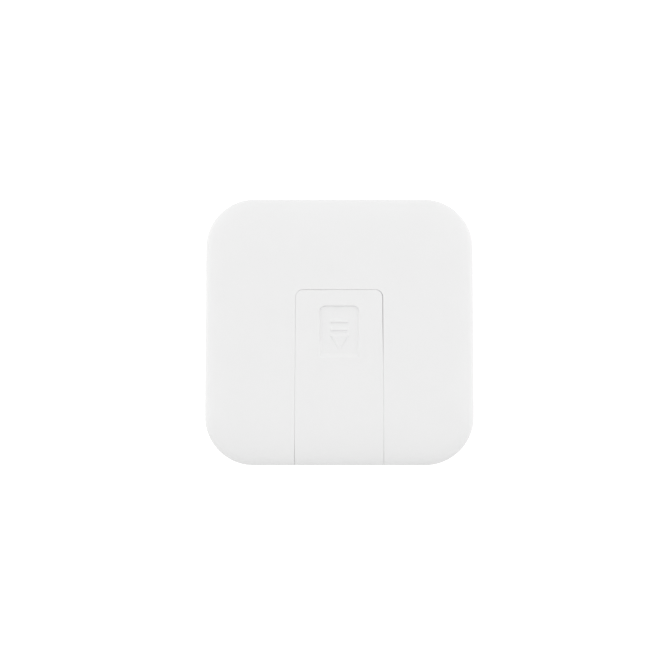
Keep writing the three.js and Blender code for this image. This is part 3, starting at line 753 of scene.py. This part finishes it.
def above(node, name, low):
    """The part of a CAD node that stands above a height in the face frame."""
    keep = prism("keep", rounded_line(0, 0, 3 * HALF, 3 * HALF, 1), low, 2 * DEPTH)
    return boolean(copy_of(node, name), keep, "INTERSECT")


def within_hollow(node, name):
    """The part of a CAD node that lies inside the rear housing's hollow."""
    floor_top = FLOOR_Z + FLOOR_THICK
    inside, less = LIP_HALF - LIP_WALL - CLEAR, 0.1
    foot = (FLOOR_HALF - (HOLLOW_FOOT + less), floor_top + CLEAR / 2)
    profile = [foot, (inside, PARTING - HOLLOW_SHOULDER), (inside, LIP_TOP)]
    keep = loft("keep", profile, lambda half: corner_at(half) - less)
    return boolean(copy_of(node, name), keep, "INTERSECT")


# Materials ----------------------------------------------------------------------------------------


class Nodes:
    """A material's node tree, written as calls."""

    def __init__(self, name):
        self.material = bpy.data.materials.new(name)
        self.material.use_nodes = True
        self.tree = self.material.node_tree
        self.shader = self.tree.nodes["Principled BSDF"]
        self.place = self.add("ShaderNodeTexCoord").outputs["Object"]

    def add(self, kind, **settings):
        node = self.tree.nodes.new(kind)
        for key, value in settings.items():
            setattr(node, key, value)
        return node

    def link(self, source, target):
        self.tree.links.new(source, target)

    def noise(self, scale, detail=4.0, roughness=0.5, stretch=(1, 1, 1)):
        """Noise of a size given in cycles per metre."""
        mapping = self.add("ShaderNodeMapping")
        mapping.inputs["Scale"].default_value = stretch
        self.link(self.place, mapping.inputs["Vector"])
        node = self.add("ShaderNodeTexNoise")
        node.inputs["Scale"].default_value = scale
        node.inputs["Detail"].default_value = detail
        node.inputs["Roughness"].default_value = roughness
        self.link(mapping.outputs["Vector"], node.inputs["Vector"])
        return node.outputs["Fac"]

    def between(self, value, low, high, start=0.0, end=1.0):
        node = self.add("ShaderNodeMapRange")
        for socket, number in (("From Min", start), ("From Max", end), ("To Min", low), ("To Max", high)):
            node.inputs[socket].default_value = number
        self.link(value, node.inputs["Value"])
        return node.outputs["Result"]

    def mix(self, share, first, second):
        node = self.add("ShaderNodeMix", data_type="RGBA")
        self.link(share, node.inputs["Factor"])
        for socket, colour in ((node.inputs["A"], first), (node.inputs["B"], second)):
            if isinstance(colour, tuple):
                socket.default_value = (*colour, 1)
            else:
                self.link(colour, socket)
        return node.outputs["Result"]

    def bump(self, value, distance, strength):
        """Relief of a depth given in metres."""
        node = self.add("ShaderNodeBump")
        node.inputs["Distance"].default_value = distance
        node.inputs["Strength"].default_value = strength
        self.link(value, node.inputs["Height"])
        self.link(node.outputs["Normal"], self.shader.inputs["Normal"])

    def colour(self, source):
        self.link(source, self.shader.inputs["Base Color"])

    def roughness(self, source):
        self.link(source, self.shader.inputs["Roughness"])

    def set(self, **values):
        for key, value in values.items():
            self.shader.inputs[key.replace("_", " ")].default_value = value


PLASTIC_IOR = 1.49


def moulded(name, light, dark, rough=(0.38, 0.5), grain=9000.0, depth=6e-6):
    """Moulded plastic: a spark-eroded grain, faint flow clouds and an uneven sheen."""
    n = Nodes(name)
    clouds = n.noise(38, 3, 0.55)
    n.colour(n.mix(n.between(clouds, 0, 1, 0.35, 0.65), dark, light))
    fine = n.noise(grain, 2, 0.6)
    patches = n.noise(140, 3, 0.6)
    n.roughness(n.between(patches, *rough, 0.3, 0.7))
    n.bump(fine, depth, 0.6)
    n.set(IOR=PLASTIC_IOR)
    return n.material


def metal(name, light, dark, rough=(0.25, 0.4), streak=(1, 1, 18)):
    """Plated sheet: drawing streaks and dull patches."""
    n = Nodes(name)
    streaks = n.noise(900, 3, 0.6, streak)
    patches = n.noise(220, 4, 0.6)
    n.colour(n.mix(n.between(patches, 0, 1, 0.35, 0.65), dark, light))
    n.roughness(n.between(streaks, *rough, 0.3, 0.7))
    n.bump(streaks, 4e-6, 0.4)
    n.set(Metallic=1.0)
    return n.material


def circuit_board():
    """Green solder mask that stands a little proud over the copper, with the glass weave under it."""
    n = Nodes("circuit_board")
    brick = n.add("ShaderNodeTexBrick", offset=0.5, squash=1.4, squash_frequency=3)
    brick.inputs["Scale"].default_value = 260
    brick.inputs["Mortar Size"].default_value = 0.06
    brick.inputs["Mortar Smooth"].default_value = 0.15
    turned = n.add("ShaderNodeMapping")
    turned.inputs["Rotation"].default_value = (math.pi / 2, 0, 0)
    n.link(n.place, turned.inputs["Vector"])
    n.link(turned.outputs["Vector"], brick.inputs["Vector"])
    areas = n.between(n.noise(70, 1, 0.4), 0, 1, 0.5, 0.52)
    tracks = n.add("ShaderNodeMath", operation="MULTIPLY")
    n.link(brick.outputs["Fac"], tracks.inputs[0])
    n.link(areas, tracks.inputs[1])
    track_share = tracks.outputs[0]
    mask = n.mix(track_share, (0.012, 0.10, 0.045), (0.03, 0.19, 0.08))
    weave = n.noise(2600, 2, 0.5)
    n.colour(n.mix(n.between(weave, 0, 0.25, 0.4, 0.6), mask, (0.02, 0.14, 0.06)))
    n.roughness(n.between(weave, 0.28, 0.42, 0.3, 0.7))
    n.bump(track_share, 3e-5, 0.5)
    return n.material


def lens():
    """Clear moulded plastic with a slight haze."""
    n = Nodes("lamp_lens")
    haze = n.noise(1500, 3, 0.6)
    n.colour(n.mix(haze, (0.86, 0.9, 0.9), (0.95, 0.97, 0.97)))
    n.roughness(n.between(haze, 0.08, 0.2))
    n.set(IOR=PLASTIC_IOR, Transmission_Weight=0.75)
    return n.material


def paper():
    """A blank film label with a faint fibre."""
    n = Nodes("label_paper")
    fibre = n.noise(2200, 5, 0.7, (1, 1, 3))
    n.colour(n.mix(n.between(fibre, 0, 1, 0.35, 0.65), (0.66, 0.67, 0.68), (0.74, 0.75, 0.76)))
    n.roughness(n.between(fibre, 0.45, 0.6))
    n.bump(fibre, 8e-6, 0.5)
    return n.material


WHITE = moulded("white_shell", (0.703, 0.703, 0.703), (0.698, 0.698, 0.698))
INNER = moulded("inner_white", (0.74, 0.74, 0.735), (0.71, 0.71, 0.70), (0.5, 0.62), 5000, 1e-5)
BRACKET = moulded("bracket_plastic", (0.70, 0.70, 0.69), (0.67, 0.67, 0.66), (0.48, 0.6), 6000, 1e-5)
BLACK = moulded("black_plastic", (0.022, 0.022, 0.024), (0.012, 0.012, 0.014), (0.35, 0.5))
EPOXY = moulded("chip_black", (0.035, 0.035, 0.04), (0.022, 0.022, 0.026), (0.5, 0.65), 7000, 1.2e-5)
FERRITE = moulded("ferrite", (0.09, 0.09, 0.095), (0.05, 0.05, 0.055), (0.6, 0.8), 3500, 2e-5)
SLEEVE = moulded("capacitor_sleeve", (0.05, 0.08, 0.13), (0.03, 0.05, 0.09), (0.22, 0.35), depth=2e-6)
RUBBER = moulded("thermal_rubber", (0.42, 0.47, 0.52), (0.36, 0.41, 0.46), (0.75, 0.9), 4000, 2e-5)
STEEL = metal("port_steel", (0.62, 0.62, 0.625), (0.56, 0.56, 0.57), rough=(0.3, 0.4))
TIN = metal("tinned_steel", (0.76, 0.76, 0.75), (0.64, 0.65, 0.65), rough=(0.3, 0.48))
SCREW = metal("screw_steel", (0.66, 0.66, 0.68), (0.5, 0.5, 0.53), rough=(0.22, 0.4), streak=(6, 6, 6))
GOLD = metal("contact_gold", (0.90, 0.66, 0.27), (0.78, 0.55, 0.2), rough=(0.18, 0.3))

LOOKS = {
    "white_shell": WHITE,
    "bracket_plastic": BRACKET,
    "circuit_board": circuit_board(),
    "port_steel": STEEL,
    "black_plastic": BLACK,
    "contact_gold": GOLD,
    "chip_black": EPOXY,
    "ferrite": FERRITE,
    "tinned_steel": TIN,
    "thermal_rubber": RUBBER,
    "capacitor_sleeve": SLEEVE,
    "lamp_lens": lens(),
    "screw_steel": SCREW,
    "label_paper": paper(),
}


def wear(item, material):
    item.data.materials.clear()
    item.data.materials.append(material)


# Pieces -------------------------------------------------------------------------------------------


def weighted(item):
    """Smooth shading that leaves the large flat faces flat."""
    step = item.modifiers.new("normals", "WEIGHTED_NORMAL")
    step.keep_sharp = True
    step.weight = 60


def stand_in(item, body, node, material, weigh=True):
    """Puts a fine piece in its CAD node's place."""
    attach(item, body)
    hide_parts(node)
    wear(item, material)
    if weigh:
        weighted(item)


def softened(item, width, steps=2, angle=40):
    step = item.modifiers.new("edges", "BEVEL")
    step.width, step.segments, step.limit_method = width, steps, "ANGLE"
    step.angle_limit = math.radians(angle)
    weighted(item)


def build_shells():
    stand_in(front_skin(), "unit", "front_shell", WHITE, weigh=False)
    stand_in(inside_core("front_shell", "front_shell_bay"), "unit", "front_shell", INNER)
    stand_in(door_skin(), "door", "cable_door", WHITE, weigh=False)
    stand_in(inside_core("cable_door", "cable_door_runners"), "door", "cable_door", INNER)
    stand_in(rear_tray(), "unit", "rear_housing", WHITE)
    posts = within_hollow("rear_housing", "rear_housing_posts")
    stand_in(posts, "unit", "rear_housing", INNER)
    stand_in(bracket_plate(), "bracket", "mounting_bracket", BRACKET)
    hooks = above("mounting_bracket", "bracket_hooks", PLATE_THICK + CLEAR / 2)
    stand_in(hooks, "bracket", "mounting_bracket", BRACKET)


SHEET, SHIELD_EDGE = 0.5, 0.08  # the jack shield's thickness, and the softening of its edges
FINGERS_X, FINGER_HALF, FINGER_LOW, FINGER_HIGH, FINGER_SLOT = (-3.7, 3.7), 1.5, -8.6, -1.2, 0.4
SHIELD_SEAM, SEAM_WIDTH = 4.6, 0.15


def jack_shield():
    """The jack's shield, with two spring fingers stamped out of its front and a seam across it."""
    name = "ethernet_jack_shield"
    low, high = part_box(name)
    top, past = -low.y / MM, 0.1
    tools = []
    for x in FINGERS_X:
        outer, inner, turn = FINGER_HALF, FINGER_HALF - FINGER_SLOT, FINGER_LOW + FINGER_SLOT
        line = [
            (x - outer, FINGER_HIGH), (x - outer, FINGER_LOW),
            (x + outer, FINGER_LOW), (x + outer, FINGER_HIGH),
            (x + inner, FINGER_HIGH), (x + inner, turn),
            (x - inner, turn), (x - inner, FINGER_HIGH),
        ]
        tools.append(outside_out(prism("finger", line, top - SHEET - past, top + past)))
    half, seam_top = high.x / MM + past, SHIELD_SEAM + SEAM_WIDTH
    line = [(-half, SHIELD_SEAM), (half, SHIELD_SEAM), (half, seam_top), (-half, seam_top)]
    tools.append(outside_out(prism("seam", line, top - SHEET / 2, top + past)))
    shield = boolean(copy_of(name, "ethernet_jack_shield_sheet"), merged(tools), "DIFFERENCE")
    stand_in(shield, "unit", name, STEEL, weigh=False)
    softened(shield, SHIELD_EDGE * MM)


BEVEL_SHARE = 0.06  # a softened edge's width, as a share of its node's thinnest side


def dress_nodes():
    """Every other CAD node keeps its shape and gets softened edges and its slot's material."""
    slots = {part["node"]: part["material_slot"] for part in frame["record"]["subparts"]}
    for name, item in frame["nodes"].items():
        if item.hide_render:
            continue
        wear(item, LOOKS[slots[name]])
        item.data.shade_smooth()
        item.data.set_sharp_from_angle(angle=math.radians(SHARP))
        low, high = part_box(name)
        softened(item, min(high - low) * BEVEL_SHARE)


# Stage --------------------------------------------------------------------------------------------


LEVEL = 1.4  # the studio's brightness straight before and behind the unit
SIDES = 0.5  # how much brighter it is straight to either side
OVERHEAD = -0.4  # and how much darker it is straight overhead


def pale_floor(size=8.0, drop=0.17):
    """A plain floor under the unit, in metres."""
    mesh = bpy.data.meshes.new("floor")
    mesh.from_pydata([(*corner, -drop) for corner in corners(size)], [], [(0, 1, 2, 3)])
    floor = bpy.data.objects.new("floor", mesh)
    bpy.context.scene.collection.objects.link(floor)
    n = Nodes("pale_floor")
    n.colour(n.mix(n.noise(3, 2, 0.5), (0.81, 0.81, 0.81), (0.83, 0.83, 0.83)))
    n.set(Roughness=0.9, Specular_IOR_Level=0.0)
    mesh.materials.append(n.material)


def studio_light():
    """Soft white light from everywhere, whose strength depends on the direction it comes from."""
    world = bpy.data.worlds.new("studio")
    bpy.context.scene.world = world
    world.use_nodes = True
    tree = world.node_tree
    direction = tree.nodes.new("ShaderNodeTexCoord")
    parts = tree.nodes.new("ShaderNodeSeparateXYZ")
    tree.links.new(direction.outputs["Generated"], parts.inputs["Vector"])

    def maths(operation, *values):
        node = tree.nodes.new("ShaderNodeMath")
        node.operation = operation
        for socket, value in zip(node.inputs, values):
            if isinstance(value, float):
                socket.default_value = value
            else:
                tree.links.new(value, socket)
        return node.outputs[0]

    side, up = parts.outputs["X"], parts.outputs["Z"]
    sides = maths("MULTIPLY_ADD", maths("MULTIPLY", side, side), SIDES, LEVEL)
    strength = maths("MULTIPLY_ADD", up, OVERHEAD, sides)
    tree.links.new(strength, tree.nodes["Background"].inputs["Strength"])
    tree.nodes["Background"].inputs["Color"].default_value = (1, 1, 1, 1)


CAMERA_DISTANCE, CAMERA_TILT = 1.15, 8.0  # metres, degrees below the face's normal
VIEW_WIDTH, SENSOR_WIDTH = 0.30164, 36.0  # metres at the middle of the unit, and millimetres
SHIFT_X, SHIFT_Y = -0.0066, -0.002  # of the view, as shares of its width


def camera():
    data = bpy.data.cameras.new("camera")
    data.sensor_width = SENSOR_WIDTH
    data.lens = data.sensor_width * CAMERA_DISTANCE / VIEW_WIDTH
    item = bpy.data.objects.new("camera", data)
    bpy.context.scene.collection.objects.link(item)
    bpy.context.scene.camera = item
    aim = Vector((0, -DEPTH * MM / 2, 0))
    tilt = math.radians(CAMERA_TILT)
    item.location = aim + CAMERA_DISTANCE * Vector((0, -math.cos(tilt), -math.sin(tilt)))
    item.rotation_euler = (aim - item.location).to_track_quat("-Z", "Y").to_euler()
    data.shift_x, data.shift_y = SHIFT_X, SHIFT_Y


build_shells()
jack_shield()
dress_nodes()
pale_floor()
studio_light()
camera()
bpy.context.scene.view_settings.view_transform = "Standard"
